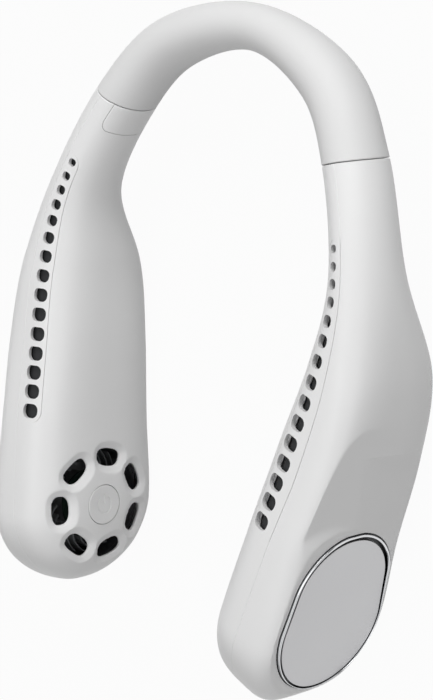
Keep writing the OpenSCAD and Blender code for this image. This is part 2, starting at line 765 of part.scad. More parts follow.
module stator() {
    face_r = core_d / 2 - pole_face;
    color("peru") in_fan() translate([0, 0, core_z]) difference() {
        union() {
            cylinder(d = tube_d + 2 * core_ring, h = core_h);
            for (i = [0 : pole_count - 1]) rotate([0, 0, 360 * i / pole_count]) {
                translate([0, -pole_wide / 2, 0]) cube([face_r + pole_face / 2, pole_wide, core_h]);
                intersection() {
                    cylinder(d = core_d, h = core_h);
                    translate([face_r, -pole_wide, 0]) cube([pole_face, 2 * pole_wide, core_h]);
                }
            }
        }
        translate([0, 0, -cut]) cylinder(d = tube_d + fit, h = core_h + 2 * cut);
    }
}
module rotor() {
    color("silver") in_fan() translate([0, 0, rotor_z]) {
        difference() {
            cylinder(d = rotor_d, h = rotor_h);
            translate([0, 0, rotor_wall]) cylinder(d = rotor_d - 2 * rotor_wall, h = rotor_h);
        }
        translate([0, 0, rotor_wall / 2]) cylinder(d = shaft_d, h = motor_plate_z - rotor_z);
    }
}

// A blade bends back along an arc from the eye to the rim
blade_eye_share = 0.7;
blade_rim_share = 0.98;
blade_angle = 26;
blade_bend_share = 1.4;
blade_points = 6;
function blade_at(k, side) =
    let (q = k / blade_points,
         r = impeller_d / 2 * (blade_eye_share + (blade_rim_share - blade_eye_share) * q),
         a = blade_angle * pow(q, blade_bend_share) + side * blade_thick / 2 / r * 180 / PI)
    [r * cos(a), r * sin(a)];
module impeller() {
    color("gray") in_fan() translate([0, 0, impeller_z]) difference() {
        union() {
            cylinder(d = hub_d, h = impeller_h);
            translate([0, 0, impeller_h - backplate_h]) cylinder(d = impeller_d, h = backplate_h);
            for (i = [0 : blade_count - 1]) rotate([0, 0, 360 * i / blade_count])
                linear_extrude(impeller_h - backplate_h / 2) polygon(concat(
                    [for (k = [0 : blade_points]) blade_at(k, -1)],
                    [for (k = [blade_points : -1 : 0]) blade_at(k, 1)]));
        }
        translate([0, 0, hub_wall]) cylinder(d = rotor_d, h = impeller_h);
    }
}
module screws() {
    color("darkgray") in_fan() {
        at_case_screws() {
            translate([0, 0, case_head_z]) cylinder(d = case_head_d, h = case_head_h);
            translate([0, 0, case_head_z - case_screw_len])
                cylinder(d = case_screw_d, h = case_screw_len);
        }
        at_posts(motor_plate_z - motor_head_h) {
            cylinder(d = motor_head_d, h = motor_head_h);
            cylinder(d = motor_screw_d, h = motor_screw_len);
        }
    }
}

module power_button() {
    color("white") in_ring() {
        translate([0, 0, -fan_half_t]) cylinder(d = button_d, h = button_thick + fit);
        translate([0, 0, flange_z]) cylinder(d = button_d + 2 * flange_wide, h = flange_h);
    }
}
module switch_plunger() {
    color("darkgray") in_ring() translate([0, 0, stem_z - switch_gap])
        cylinder(d = stem_d, h = stem_h + button_travel);
}
module tact_switch() {
    color("black") in_ring() translate([0, 0, stem_z + stem_h]) difference() {
        translate([-switch_wide / 2, -switch_wide / 2, 0]) cube([switch_wide, switch_wide, switch_h]);
        translate([0, 0, -cut]) cylinder(d = stem_d + 2 * fit, h = cut + 2 * button_travel + fit);
    }
}
module button_board() {
    color("seagreen") in_ring() translate([0, 0, board_z]) cylinder(r = board_r, h = board_thick);
}
module control_board() {
    color("seagreen") in_fan() translate([port_x - main_board_len / 2, main_board_y, main_board_z])
        cube([main_board_len, main_board_h, board_thick]);
}
module port_outline(m) {
    for (s = [-1, 1]) translate([s * (port_wide - port_thick) / 2, 0]) circle(port_thick / 2 + m);
    square([port_wide - port_thick, port_thick + 2 * m], center = true);
}
module charge_port() {
    color("silver") in_fan() translate([port_x, port_sink - fan_height / 2, port_z]) rotate([-90, 0, 0]) {
        difference() {
            linear_extrude(port_len) port_outline(0);
            translate([0, 0, -cut]) linear_extrude(port_len) port_outline(-port_wall);
        }
        translate([0, 0, port_len / 2])
            cube([port_wide - port_thick, tongue_thick, port_len - cut], center = true);
    }
}

neck_sleeve();
bend_strip();
band_wires();
left() outer_shell();  // left_outer_shell
left() inner_shell(true);  // left_inner_shell
left() vent_strip();  // left_vent_strip
left() vent_screen();  // left_vent_screen
left() bezel();  // left_bezel
left() cover_plate();  // left_cover_plate
left() clamp_cover();  // left_clamp_cover
left() strip_clamp();  // left_strip_clamp
left() arm_wires();  // left_wires
left() battery();  // left_battery
left() battery_cradle();  // left_battery_cradle
left() scroll();  // left_scroll
left() motor_plate();  // left_motor_plate
left() stator();  // left_stator
left() screws();  // left_screws
left() impeller();  // left_impeller
left() rotor();  // left_rotor
left() power_button();
left() switch_plunger();
left() button_board();
left() tact_switch();
left() control_board();
left() charge_port();
outer_shell();  // right_outer_shell
inner_shell(false);  // right_inner_shell
vent_strip();  // right_vent_strip
vent_screen();  // right_vent_screen
bezel();  // right_bezel
cover_plate();  // right_cover_plate
clamp_cover();  // right_clamp_cover
strip_clamp();  // right_strip_clamp
arm_wires();  // right_wires
battery();  // right_battery
battery_cradle();  // right_battery_cradle
scroll();  // right_scroll
motor_plate();  // right_motor_plate
stator();  // right_stator
screws();  // right_screws
impeller();  // right_impeller
rotor();  // right_rotor
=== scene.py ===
import bpy
import bmesh
import math
import numpy as np
from mathutils import Matrix, Vector


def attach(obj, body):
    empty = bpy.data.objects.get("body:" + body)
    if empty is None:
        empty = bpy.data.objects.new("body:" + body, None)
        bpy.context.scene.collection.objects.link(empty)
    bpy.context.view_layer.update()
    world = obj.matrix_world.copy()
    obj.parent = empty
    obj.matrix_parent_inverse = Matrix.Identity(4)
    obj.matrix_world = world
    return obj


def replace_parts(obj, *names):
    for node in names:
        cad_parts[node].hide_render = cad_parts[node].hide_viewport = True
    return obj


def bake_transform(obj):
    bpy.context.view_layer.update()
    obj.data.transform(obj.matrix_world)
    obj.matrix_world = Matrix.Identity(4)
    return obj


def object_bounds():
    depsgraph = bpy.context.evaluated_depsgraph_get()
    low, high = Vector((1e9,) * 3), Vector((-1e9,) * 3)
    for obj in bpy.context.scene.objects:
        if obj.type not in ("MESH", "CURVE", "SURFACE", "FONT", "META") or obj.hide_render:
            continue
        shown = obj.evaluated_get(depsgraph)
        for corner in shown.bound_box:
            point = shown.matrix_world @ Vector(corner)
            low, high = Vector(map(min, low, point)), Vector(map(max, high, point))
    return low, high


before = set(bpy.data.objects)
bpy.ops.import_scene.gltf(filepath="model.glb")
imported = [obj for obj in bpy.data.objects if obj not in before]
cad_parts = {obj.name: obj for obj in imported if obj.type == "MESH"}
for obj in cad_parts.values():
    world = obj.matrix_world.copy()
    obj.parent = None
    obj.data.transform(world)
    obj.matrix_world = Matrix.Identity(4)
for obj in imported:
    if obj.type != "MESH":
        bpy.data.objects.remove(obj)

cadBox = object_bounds()
mm = 0.001
boxLow, boxHigh = [np.array(v) / mm for v in cadBox]
weld = 0.0002           # points nearer than this, in millimetres, become one
farOff = 99.0           # stands for a distance that isn't worked out
print("neck fan: frame loaded,", len(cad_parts), "nodes")

# Everything below is worked out in millimetres, for the right arm, and mirrored for the left.
# The skin is that of the part's source, so that each piece lies where its solid lies. Vents,
# intakes, plate, bezel and relief are shaped finer than in the solids.
arm = {
    "overallLen": 200, "armSpan": 131, "fanHeight": 52, "fanThick": 33, "bandLift": 10,
    "fanFromTip": 27, "tipRoundHigh": 25.5, "tipRoundThick": 12.5, "landDepth": 0.3,
    "wall": 2, "faceOut": 13, "faceWall": 3.4, "slant": math.radians(1.2), "seamGap": 0.3,
    "seam": 0.25, "plugEnd": 0.268, "stripStart": 0.331, "stripEnd": 0.735, "coverEnd": 0.288,
    "firstVent": 0.341, "lastVent": 0.719, "skew": 0.008, "skewFade": 0.06,
}
# At nine places from the band's middle to the tip, as shares of the sizes above
across = [0, 0.5, 0.77, 0.963, 1, 0.956, 0.888, 0.82, 0.727]
along = [1, 0.95, 0.845, 0.688, 0.546, 0.41, 0.27, 0.125, 0]
thick = [0.43, 0.525, 0.56, 0.59, 0.83, 0.93, 0.935, 1, 0.77]
high = [0.27, 0.365, 0.395, 0.475, 0.77, 0.862, 0.945, 1, 0.91]
lift = [0.98, 0.85, 1.1, 1.22, 0.12, 0, 0, 0, 0.5]


def withEnds(values, sign):
    return np.array([sign * values[1]] + list(values) + [2 * values[-1] - values[-2]], float)


bandHalf = thick[0] * arm["fanThick"] / 2
acrossPoints = withEnds([s * arm["armSpan"] / 2 for s in across], -1)
alongPoints = withEnds([s * (arm["overallLen"] - bandHalf) - arm["overallLen"] / 2
                        for s in along], 1)
thickPoints = withEnds([s * arm["fanThick"] / 2 for s in thick], 1)
highPoints = withEnds([s * arm["fanHeight"] / 2 for s in high], 1)
liftPoints = withEnds([s * arm["bandLift"] for s in lift], 1)


def curveAt(points, u):
    f = np.clip(np.abs(u), 0, 1) * (len(points) - 3)
    i = np.minimum(f.astype(int), len(points) - 4)
    w = f - i
    a, b, c, d = points[i], points[i + 1], points[i + 2], points[i + 3]
    return 0.5 * (2 * b + (c - a) * w + (2 * a - 5 * b + 4 * c - d) * w ** 2
                  + (3 * b - a - 3 * c + d) * w ** 3)


def halfThick(u):
    return curveAt(thickPoints, u)


def halfHigh(u):
    return curveAt(highPoints, u)


def pathAt(u):
    u = np.asarray(u, float)
    return np.stack([np.sign(u) * curveAt(acrossPoints, u), curveAt(alongPoints, u),
                     curveAt(liftPoints, u) + halfHigh(u) - arm["landDepth"]], -1)


headingStep = 0.004     # of u, to either side


def headingAt(u):
    d = pathAt(np.minimum(u + headingStep, 1)) - pathAt(u - headingStep)
    d[..., 2] = 0
    return d / np.linalg.norm(d, axis=-1, keepdims=True)


def outwardAt(u):
    d = headingAt(u)
    return np.stack([-d[..., 1], d[..., 0], 0 * d[..., 0]], -1)


tipPoint = pathAt(1.0)


def leftOfTip(u):
    return np.linalg.norm(tipPoint - pathAt(u), axis=-1)


tipRun = float(leftOfTip(1 - 1 / 8) * 8)
fanShare = 1 - arm["fanFromTip"] / tipRun
armStart = arm["seam"] + arm["seamGap"] / tipRun


def eased(u, a, b):
    k = np.clip((u - a) / (b - a), 0, 1)
    return k * k * (3 - 2 * k)


corners = {"outer": 4.2, "inner": 2.82, "lower": 3.0, "from": 0.35, "to": 0.65}


def exponentAt(u, angle):
    # roundness of the section: 2 is an ellipse, more is squarer
    k = eased(np.abs(u), corners["from"], corners["to"])
    a = (angle + 90) % 360 - 90
    upper = np.where(a <= 90, corners["outer"], corners["inner"])
    square = np.where((a > 0) & (a <= 180), upper, corners["lower"])
    return 2 + (square - 2) * k


def roundingAt(u, r, inset):
    # the share of the section that is left in the tip's round, never quite nothing
    d, q = leftOfTip(np.abs(u)) - inset, r - inset
    k = np.sqrt(np.maximum(1 - (1 - np.clip(d, 0, q) / q) ** 2, 0.001))
    return np.where(d >= q, 1, k)


def skinAt(u, angle, inset=0.0):
    # a point of the surface at u, at an angle round the section, moved in by inset
    u, angle = np.broadcast_arrays(np.asarray(u, float), np.asarray(angle, float))
    c, s = np.cos(np.radians(angle)), np.sin(np.radians(angle))
    e = exponentAt(u, angle)
    rho = (np.abs(c) ** e + np.abs(s) ** e) ** (-1 / e)
    turn = np.sign(c) * (np.abs(c) * rho) ** (e / 2)
    fade = np.maximum(0, 1 - np.abs(np.abs(u) - arm["seam"]) / arm["skewFade"])
    v = u + np.sign(u) * arm["skew"] * turn * fade
    t = (halfThick(v) - inset) * roundingAt(v, arm["tipRoundThick"], inset)
    h = (halfHigh(v) - inset) * roundingAt(v, arm["tipRoundHigh"], inset)
    up = np.zeros(v.shape + (3,))
    up[..., 2] = h * s * rho
    return pathAt(v) + (t * c * rho)[..., None] * outwardAt(v) + up


def angleOut(u, d):
    x = np.clip(np.maximum(d, 0) / halfThick(u), 0, 1)
    e = exponentAt(u, np.full(np.shape(u), 45.0))
    return np.degrees(np.arctan2((1 - x ** e) ** (1 / e), x))


def angleIn(u, d):
    x = np.clip(d / halfThick(u), 0, 1)
    e = exponentAt(u, np.full(np.shape(u), 135.0))
    return 180 - np.degrees(np.arctan2((1 - x ** e) ** (1 / e), x))


parting = {"out": 0.12, "fadeFrom": 0.65}


def partingOut(u):
    run = (u - parting["fadeFrom"]) / (fanShare - parting["fadeFrom"])
    return parting["out"] * halfThick(u) * (1 - np.clip(run, 0, 1))


def partingAt(u):
    return angleOut(u, partingOut(u))


def partingOf(u):
    return float(partingAt(np.array(u)))


def turnFor(length, u):
    # the angle of the section that a length of skin takes up
    return math.degrees(length / max(float(halfHigh(np.array(u))), 1))


# The fan's frame: x along the arm to the band, y up, z outward
fanAt = pathAt(fanShare)
fanOut = outwardAt(np.array(fanShare))
fanBack = -headingAt(np.array(fanShare))
fanHalf = float(halfThick(np.array(fanShare)))
fanMatrix = np.array([fanBack, [0, 0, 1], fanOut])      # rows: x, y, z of the frame
slantTurn = np.array([[math.cos(arm["slant"]), 0, math.sin(arm["slant"])], [0, 1, 0],
                      [-math.sin(arm["slant"]), 0, math.cos(arm["slant"])]])
faceAt = np.array([0, 0, arm["faceOut"]])


def toFan(p):
    return (p - fanAt) @ fanMatrix.T


def fromFan(q):
    return q @ fanMatrix + fanAt


def toFace(p):
    return (toFan(p) - faceAt) @ slantTurn


def fromFace(q):
    return fromFan(q @ slantTurn.T + faceAt)


def softLeast(a, b, w):
    # the lesser of two heights, with a rounded change between them
    d = a - b
    return np.where(d > w, b, np.where(d < -w, a, a - (d + w) ** 2 / (4 * w)))


def outlineDistance(p, outline, chunk=4000):
    # distance of flat points from a closed convex outline, negative inside it, some at a time
    far = np.empty(len(p))
    edge = np.roll(outline, -1, 0) - outline
    length = (edge ** 2).sum(1)
    for k in range(0, len(p), chunk):
        w = p[k:k + chunk, None, :] - outline[None]
        s = np.clip((w * edge).sum(-1) / length, 0, 1)
        d = np.sqrt(((w - s[..., None] * edge) ** 2).sum(-1)).min(1)
        inside = (edge[:, 0] * w[..., 1] - edge[:, 1] * w[..., 0] >= 0).all(1)
        far[k:k + chunk] = np.where(inside, -d, d)
    return far


def roundedHull(rounds, grow, count):
    # outline of the hull of some circles, each given as x, y, radius
    pts = []
    for k in range(count):
        a = 2 * math.pi * k / count
        x, y, r = max(rounds, key=lambda c: c[0] * math.cos(a) + c[1] * math.sin(a) + c[2])
        pts.append((x + (r + grow) * math.cos(a), y + (r + grow) * math.sin(a)))
    return np.array(pts)


def fromMesh(name, mesh):
    piece = bpy.data.objects.new(name, mesh)
    bpy.context.collection.objects.link(piece)
    return piece


def facingOut(bm):
    bmesh.ops.recalc_face_normals(bm, faces=bm.faces)
    if bm.calc_volume(signed=True) < 0:
        bmesh.ops.reverse_faces(bm, faces=bm.faces)


def finished(name, bm, side, sharp=32):
    # millimetres to metres, the left arm mirrored, normals out, edges kept sharp past an angle
    bmesh.ops.remove_doubles(bm, verts=bm.verts, dist=weld)
    bmesh.ops.triangulate(bm, faces=bm.faces)
    for vert in bm.verts:       # the flat land that the fan stands on, and the solids' size
        vert.co = np.clip(vert.co, boxLow, boxHigh).tolist()
    bmesh.ops.transform(bm, matrix=Matrix.Diagonal((side * mm, mm, mm, 1)), verts=bm.verts)
    facingOut(bm)
    mesh = bpy.data.meshes.new(name)
    bm.to_mesh(mesh)
    bm.free()
    mesh.shade_smooth()
    mesh.set_sharp_from_angle(angle=math.radians(sharp))
    return fromMesh(name, mesh)


def lofted(rows):
    # a grid whose rows are laid on the rings of a closed form, then closed at both ends
    m, k = rows.shape[:2]
    bm = bmesh.new()
    bmesh.ops.create_grid(bm, x_segments=k, y_segments=m - 1, size=1)
    points = np.concatenate([rows, rows[:, :1]], 1).reshape(-1, 3)
    for vert, p in zip(bm.verts, points.tolist()):
        vert.co = p
    bmesh.ops.remove_doubles(bm, verts=bm.verts, dist=weld)
    rim = [e for e in bm.edges if e.is_boundary]
    bmesh.ops.holes_fill(bm, edges=rim, sides=0)
    facingOut(bm)
    return bm


def slab(outline, z0, z1):
    # a flat outline at z0, drawn out to z1
    bm = bmesh.new()
    bmesh.ops.create_circle(bm, cap_ends=True, segments=len(outline), radius=1)
    for vert, p in zip(bm.verts, outline):
        vert.co = (p[0], p[1], z0)
    made = bmesh.ops.extrude_face_region(bm, geom=list(bm.faces))["geom"]
    top = [v for v in made if isinstance(v, bmesh.types.BMVert)]
    bmesh.ops.translate(bm, vec=(0, 0, z1 - z0), verts=top)
    return bm


def prism(outline, z0, z1, place):
    # a slab placed by a function
    bm = slab(outline, z0, z1)
    for vert in bm.verts:
        vert.co = place(np.array(vert.co)).tolist()
    facingOut(bm)
    return bm


def circle(r, x=0.0, y=0.0, count=48):
    return [(x + r * math.cos(2 * math.pi * k / count), y + r * math.sin(2 * math.pi * k / count))
            for k in range(count)]


def together(parts):
    bm = bmesh.new()
    for part in parts:
        mesh = bpy.data.meshes.new("part")
        part.to_mesh(mesh)
        part.free()
        bm.from_mesh(mesh)
        bpy.data.meshes.remove(mesh)
    return bm


def carved(bm, tools, operation="DIFFERENCE"):
    # one solid cut by, or joined with, a set of others
    mesh, toolMesh = bpy.data.meshes.new("body"), bpy.data.meshes.new("tools")
    bmesh.ops.triangulate(bm, faces=[f for f in bm.faces if len(f.verts) > 4])
    bm.to_mesh(mesh)
    bm.free()
    cutter = together(tools)
    cutter.to_mesh(toolMesh)
    cutter.free()
    body, tool = fromMesh("body", mesh), fromMesh("tools", toolMesh)
    change = body.modifiers.new("carve", "BOOLEAN")
    change.object, change.operation, change.solver = tool, operation, "MANIFOLD"
    depsgraph = bpy.context.evaluated_depsgraph_get()
    result = bpy.data.meshes.new_from_object(body.evaluated_get(depsgraph))
    out = bmesh.new()
    out.from_mesh(result)
    for thing, data in ((body, mesh), (tool, toolMesh)):
        bpy.data.objects.remove(thing)
        bpy.data.meshes.remove(data)
    bpy.data.meshes.remove(result)
    return out


# Finishes

def hexColour(text):
    # sRGB hex to the linear colour that Blender's sockets take
    v = [int(text[i:i + 2], 16) / 255 for i in (1, 3, 5)]
    return tuple(x / 12.92 if x <= 0.04045 else ((x + 0.055) / 1.055) ** 2.4 for x in v) + (1.0,)


def addNode(tree, kind, settings=None, links=None):
    # adds a node, with its settings by attribute or by socket name, and its links in
    node = tree.nodes.new(kind)
    for key, value in (settings or {}).items():
        if isinstance(key, int) or key in node.inputs:
            node.inputs[key].default_value = value
        else:
            setattr(node, key, value)
    for key, source in (links or {}).items():
        tree.links.new(source, node.inputs[key])
    return node


def newMaterial(name):
    material = bpy.data.materials.new(name)
    material.use_nodes = True
    material.node_tree.nodes.clear()
    return material, material.node_tree


drift = {"over": 35, "rough": 0.04}     # mm over which the tone drifts, and how far gloss strays


def moulded(name, colour, shade, roughness, grain, depth, extra=None):
    # a moulded or coated surface: fine grain in its bump, and a slight drift of tone
    material, tree = newMaterial(name)
    place = {"Vector": addNode(tree, "ShaderNodeTexCoord").outputs["Object"]}
    fine = addNode(tree, "ShaderNodeTexNoise", {"Scale": 1 / (grain * mm), "Detail": 3.0}, place)
    broad = addNode(tree, "ShaderNodeTexNoise",
                    {"Scale": 1 / (drift["over"] * mm), "Detail": 2.0}, place)
    tone = addNode(tree, "ShaderNodeMix", {"data_type": "RGBA"}, {0: broad.outputs["Fac"]})
    tone.inputs[6].default_value = hexColour(colour)
    tone.inputs[7].default_value = hexColour(shade)
    rough = addNode(tree, "ShaderNodeMapRange",
                    {"To Min": roughness - drift["rough"], "To Max": roughness + drift["rough"]},
                    {"Value": fine.outputs["Fac"]})
    bump = addNode(tree, "ShaderNodeBump", {"Distance": depth * mm, "Strength": 1.0},
                   {"Height": fine.outputs["Fac"]})
    shader = addNode(tree, "ShaderNodeBsdfPrincipled", extra or {},
                     {"Base Color": tone.outputs[2], "Roughness": rough.outputs["Result"],
                      "Normal": bump.outputs["Normal"]})
    addNode(tree, "ShaderNodeOutputMaterial", None, {"Surface": shader.outputs["BSDF"]})
    return material


# Each has two tones, roughness, and the size and depth of its grain in millimetres
metal = {"Metallic": 1.0}
# Moulded white ABS with a fine spark-eroded satin: soft broad highlights
whiteAbs = moulded("satinWhiteMouldedAbs", "#f2f2f2", "#eeeeee", 0.42, 0.5, 0.006, {"IOR": 1.53})
# Silicone overmould of the band: a little duller than the arms
bandSilicone = moulded("matteWhiteSilicone", "#e9e9e9", "#e4e4e4", 0.56, 0.6, 0.01, {"IOR": 1.41})
# The same ABS, polished a little by the thumb
buttonAbs = moulded("satinWhiteButtonAbs", "#eeeeee", "#e9e9e9", 0.36, 0.5, 0.005, {"IOR": 1.53})
# Bead-blasted aluminium: even satin grey with a faint sparkle
platedAluminium = moulded("beadBlastedAluminium", "#c4c4c5", "#bebec0", 0.42, 0.35, 0.012, metal)
# Chromed trim ring, polished: dark and white reflections side by side
chromeWithPaintedShade = moulded("polishedChromeTrimWithPaintedShade", "#dddee0", "#d6d7d9", 0.09, 2.0, 0.002, metal)
tree = chromeWithPaintedShade.node_tree
chromeShader = next(n for n in tree.nodes if n.type == "BSDF_PRINCIPLED")
chromeTone = chromeShader.inputs["Base Color"].links[0].from_socket
# the groove beside the plate and the step outside the lip get painted shade: a dark tone that
# stands for the shadow and dark reflection in these gaps
paintedShade = addNode(tree, "ShaderNodeAttribute", {"attribute_name": "groove"}).outputs["Fac"]
paintedGrooveShade = addNode(tree, "ShaderNodeMix", {"data_type": "RGBA"}, {0: paintedShade, 6: chromeTone})
paintedGrooveShade.inputs[7].default_value = hexColour("#2c2d2f")
tree.links.new(paintedGrooveShade.outputs[2], chromeShader.inputs["Base Color"])
# Woven nylon dust mesh: near black and dull, so the vents read as holes
dustMesh = moulded("wovenBlackDustMesh", "#2a2b2d", "#232426", 0.75, 0.6, 0.05)
# Charcoal ABS of the hidden mouldings: flat dark grey that keeps the openings dark
innerAbs = moulded("charcoalMouldedAbs", "#4a4b4d", "#434446", 0.55, 0.5, 0.01)
# Moulded PBT of the impellers: dull mid grey, so the blades just show
impellerPbt = moulded("greyMouldedPbt", "#7c7e80", "#747678", 0.6, 0.6, 0.01)
# Tempered spring steel: cool grey with narrow highlights
springSteel = moulded("temperedSpringSteel", "#8f9499", "#7f858c", 0.3, 1.0, 0.004, metal)
# Wire insulation of PVC: clear red with a soft gloss
wirePvc = moulded("redWirePvc", "#b3262a", "#a52024", 0.4, 0.8, 0.004)
# Shrink wrap on the cells: smooth blue with clean highlights
cellWrap = moulded("blueShrinkWrapPvc", "#2f5fae", "#2a569f", 0.3, 2.0, 0.008)
# Enamelled winding: warm copper, broken up by the grain of its turns
motorCopper = moulded("enamelledCopperWinding", "#b06a3a", "#9d5b30", 0.35, 0.4, 0.03, metal)
# Zinc plated steel: pale metal with soft reflections
motorSteel = moulded("zincPlatedMotorSteel", "#b4b7ba", "#a8acb0", 0.3, 0.8, 0.004, metal)
# Nickel plated screws: small bright glints
screwSteel = moulded("nickelPlatedScrewSteel", "#a9abad", "#9c9fa2", 0.28, 0.8, 0.004, metal)
# Solder mask on a glass board: dark green with a waxy gloss
boardGlass = moulded("darkGreenSolderMaskBoard", "#23332b", "#1d2b24", 0.35, 0.6, 0.006)
# Moulded nylon of the switch: black with a dull sheen
switchNylon = moulded("blackSwitchNylon", "#202123", "#1b1c1d", 0.5, 0.5, 0.006)
# Nickel plated receptacle: light metal with the sharpest highlights of the inner parts
portSteel = moulded("nickelPlatedPortSteel", "#b9bbbd", "#aeb0b3", 0.25, 0.8, 0.003, metal)

slotFinish = {
    "screen_dark": dustMesh, "inner_black": innerAbs, "impeller_grey": impellerPbt,
    "spring_steel": springSteel, "wire_red": wirePvc, "cell_blue": cellWrap,
    "motor_copper": motorCopper, "motor_steel": motorSteel, "screw_steel": screwSteel,
    "board_green": boardGlass, "switch_black": switchNylon, "port_steel": portSteel,
    "shell_white": whiteAbs, "band_soft": bandSilicone, "button_white": buttonAbs,
    "plate_silver": platedAluminium, "bezel_chrome": chromeWithPaintedShade,
}


def dress(piece, material):
    piece.data.materials.clear()
    piece.data.materials.append(material)


print("neck fan: finishes made")

# The arm shells

shell = {
    "rowStep": 0.55, "fineStep": 0.45, "fineFrom": 0.76, "armRun": 218, "tipTurn": 1.15,
    "tipLast": 3, "ringPoints": 150, "insidePoints": 26, "chamfer": 0.14, "fit": 0.1,
    "dishWide": 2.0, "dishDepth": 0.8, "dishPower": 0.8, "dishSoft": 0.45, "dishReach": 12,
    "seat": 2.0, "bezelWide": 1.2, "faceSoft": 0.12,
    "intakes": 7, "ringR": 15.6, "intakeLen": 5.9, "outWide": 10.1, "intakePower": 2.7,
    "taper": 0.06, "ringRise": 1.1, "petalDepth": 1.3, "petalWide": 2.3, "petalPower": 0.85,
    "lipRound": 0.35, "buttonD": 13, "buttonGap": 0.2, "buttonPoints": 96,
}
scoop = {                    # the flat scoop: a leaning facet, a ramp to the face, a pad round it
    "facetOut": 12.3, "facetLean": math.radians(5.9), "rampX": 22, "rampOut": 13.2,
    "rampLean": math.radians(17), "rampSoft": 0.6, "padWide": 4, "padRun": 6, "padDrop": 3,
    "padSoft": 0.5, "archRise": 1.1, "archFrom": 61, "archTo": 82,
    "edgeSoft": 0.15, "edgeSofter": 1.7, "edgeNear": 2, "edgeRun": 10,
}
reach = {"out": 5, "run": 90, "faceDeep": 6, "faceRun": 60, "in": 6, "ring": 27}    # of the shapers
clear = {"above": 1.0, "front": 3, "behind": 6}     # how far cutters go past a wall
screws = {
    "x": 26.4, "y": 11.5, "bossD": 5, "bossRise": 1, "headD": 4.2, "headFloor": 1.2,
    "headZ": 9.05, "headRun": 6, "holeD": 2.2, "holeFrom": -4, "holeTo": 2,
}
bezel = {
    "wide": 2.3, "groove": 0.78, "grooveSwing": 0.34, "lipShare": 0.45, "edge": 0.4,
    "edgeShare": 0.2, "grooveFloor": -1.75, "fillet": 0.02, "filletHigh": 0.03, "lipFoot": -0.8,
    "edgeFloor": -1.15, "top": -0.12, "shoulder": 0.5, "under": -2.0,
}
lipSteps = (-1, -0.94, -0.8, -0.55, -0.28, 0, 0.28, 0.55, 0.8, 0.94, 1)
plate = {"top": -0.5, "under": -2.0, "round": 0.2, "roundSteps": 3, "seatGap": 0.5}
# outlines on the face: x, y and radius of the big round, whole length, and the radius and half
# height at the band's end
seatForm = (2.4, 0, 20, 50, 13.5, 19)
plateForm = (1.4, -0.77, 19.75, 49.8, 17.6, 18)
faceMiddle = np.array([6.5, 0])


def armStations(start):
    # even steps along the arm, finer at the fan, and steps that follow the round of the tip
    roundStart = 1 - arm["tipRoundHigh"] / tipRun
    a = np.arange(start, shell["fineFrom"], shell["rowStep"] / shell["armRun"])
    b = np.arange(shell["fineFrom"], roundStart, shell["fineStep"] / tipRun)
    turn = np.radians(np.arange(90, shell["tipLast"], -shell["tipTurn"]))
    c = 1 - arm["tipRoundHigh"] * (1 - np.cos(turn)) / tipRun
    chamfer = start + shell["chamfer"] / tipRun
    return np.concatenate([[start, chamfer], a[a > chamfer + 0.001], b, c])


def faceOutline(form, grow, count=160):
    x, y, r, length, cornerR, endHigh = form
    endX, endY = x - r + length - cornerR, endHigh - cornerR
    rounds = [(x, y, r), (endX, y + endY, cornerR), (endX, y - endY, cornerR)]
    return roundedHull(rounds, grow, count)


def reachOf(outline, ways):
    # how far a convex outline lies from the face's middle, in each direction
    edge = np.roll(outline, -1, 0) - outline
    normal = np.stack([edge[:, 1], -edge[:, 0]], -1)
    share = ways @ normal.T
    height = ((outline - faceMiddle) * normal).sum(1)
    return np.where(share > 1e-6, height / np.maximum(share, 1e-6), 1e9).min(1)


def rimOutline(plateGrow, seatGrow, count=200):
    # the plate's outline grown by one amount, kept within the seat's grown by another
    turn = 2 * math.pi * np.arange(count) / count
    ways = np.stack([np.cos(turn), np.sin(turn)], -1)
    r = np.minimum(reachOf(faceOutline(plateForm, plateGrow), ways),
                   reachOf(faceOutline(seatForm, seatGrow), ways))
    return faceMiddle + r[:, None] * ways


def bezelOutline(grow, count=200):
    return rimOutline(bezel["wide"] + grow, shell["bezelWide"] + grow, count)


def intakeOutline(grow, count=64):
    # a soft oval, a little wider on the side away from the button
    pts = []
    e, taper = shell["intakePower"], shell["taper"]
    for k in range(count):
        a = 2 * math.pi * k / count
        c, d = math.cos(a), math.sin(a)
        rho = (abs(c) ** e + abs(d) ** e) ** (-1 / e)
        x = (shell["intakeLen"] / 2 + grow) * c * rho
        wide = (shell["outWide"] / 2 + grow) * (1 - taper + taper * c * rho)
        pts.append((shell["ringR"] + x, wide * d * rho))
    return np.array(pts)


